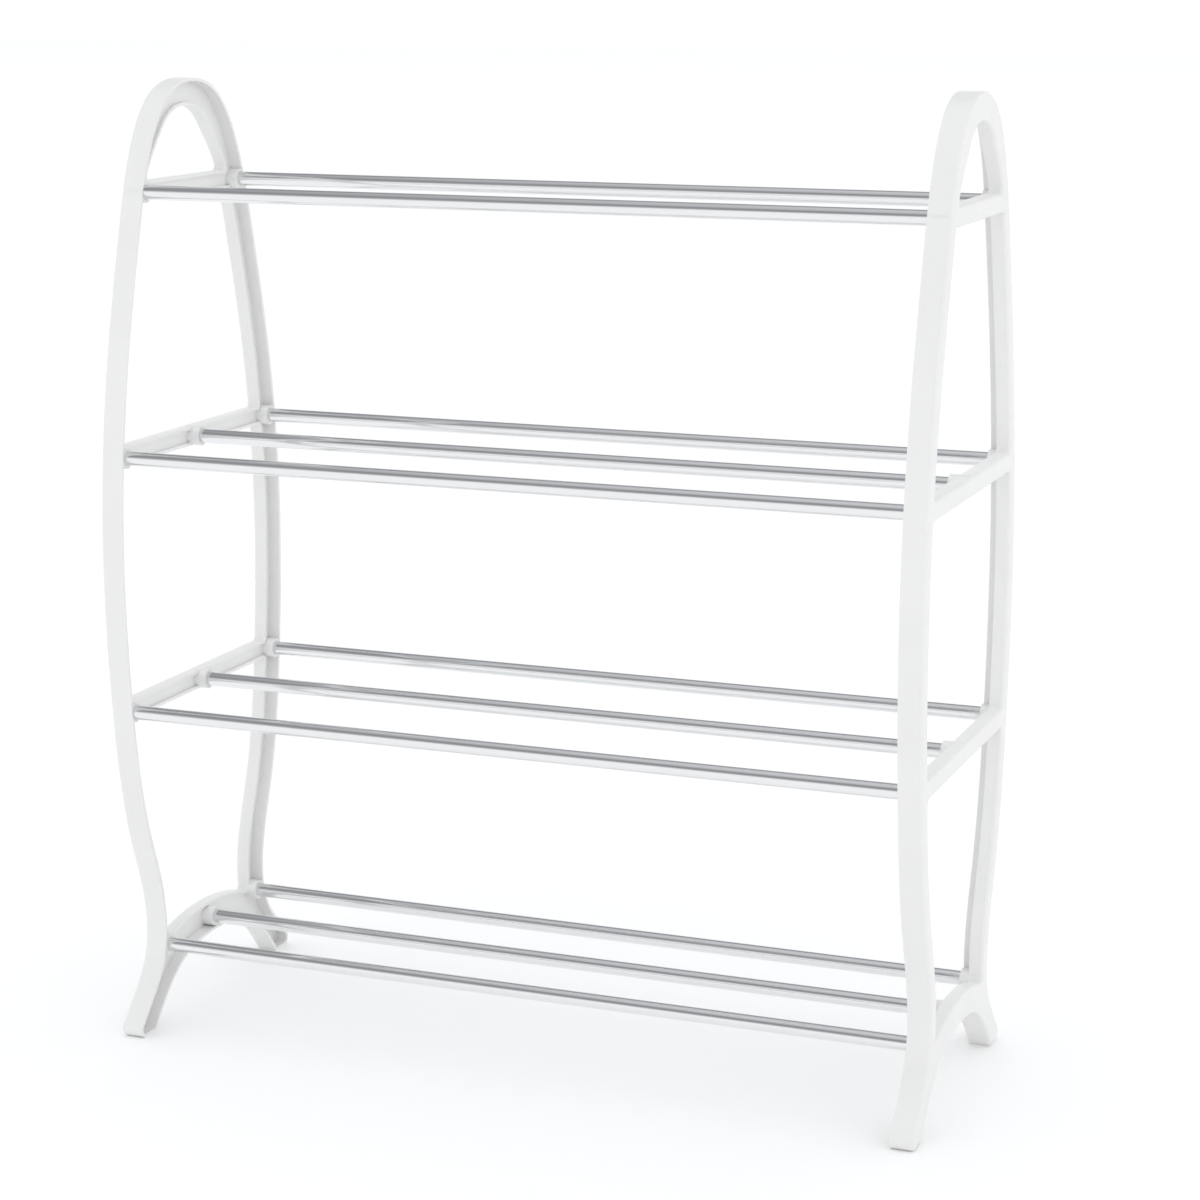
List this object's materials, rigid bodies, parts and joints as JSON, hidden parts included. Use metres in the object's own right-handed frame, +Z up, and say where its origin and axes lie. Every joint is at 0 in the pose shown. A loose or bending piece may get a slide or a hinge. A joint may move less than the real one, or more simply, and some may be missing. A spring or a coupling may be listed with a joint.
{
  "type": "tiered shoe rack",
  "caption": "Free-standing tiered shoe rack with two moulded arch-shaped side frames and chromed steel tubes for shelves.",
  "frame": {"origin": "on the floor, in the middle of the rack", "axes": "+Z up, +X along the tubes to the right side frame, +Y towards the back; front and back are alike"},
  "size_m": [0.551, 0.221, 0.634],
  "materials": {
    "moulded_plastic": "satin moulded",
    "chromed_steel": "polished chrome plate"
  },
  "bodies": {
    "root": {"left_side_frame": "moulded_plastic", "right_side_frame": "moulded_plastic", "top_front_tube": "chromed_steel", "top_rear_tube": "chromed_steel", "upper_front_tube": "chromed_steel", "upper_middle_tube": "chromed_steel", "upper_rear_tube": "chromed_steel", "lower_front_tube": "chromed_steel", "lower_middle_tube": "chromed_steel", "lower_rear_tube": "chromed_steel", "bottom_front_tube": "chromed_steel", "bottom_middle_tube": "chromed_steel", "bottom_rear_tube": "chromed_steel"}
  },
  "joints": []
}
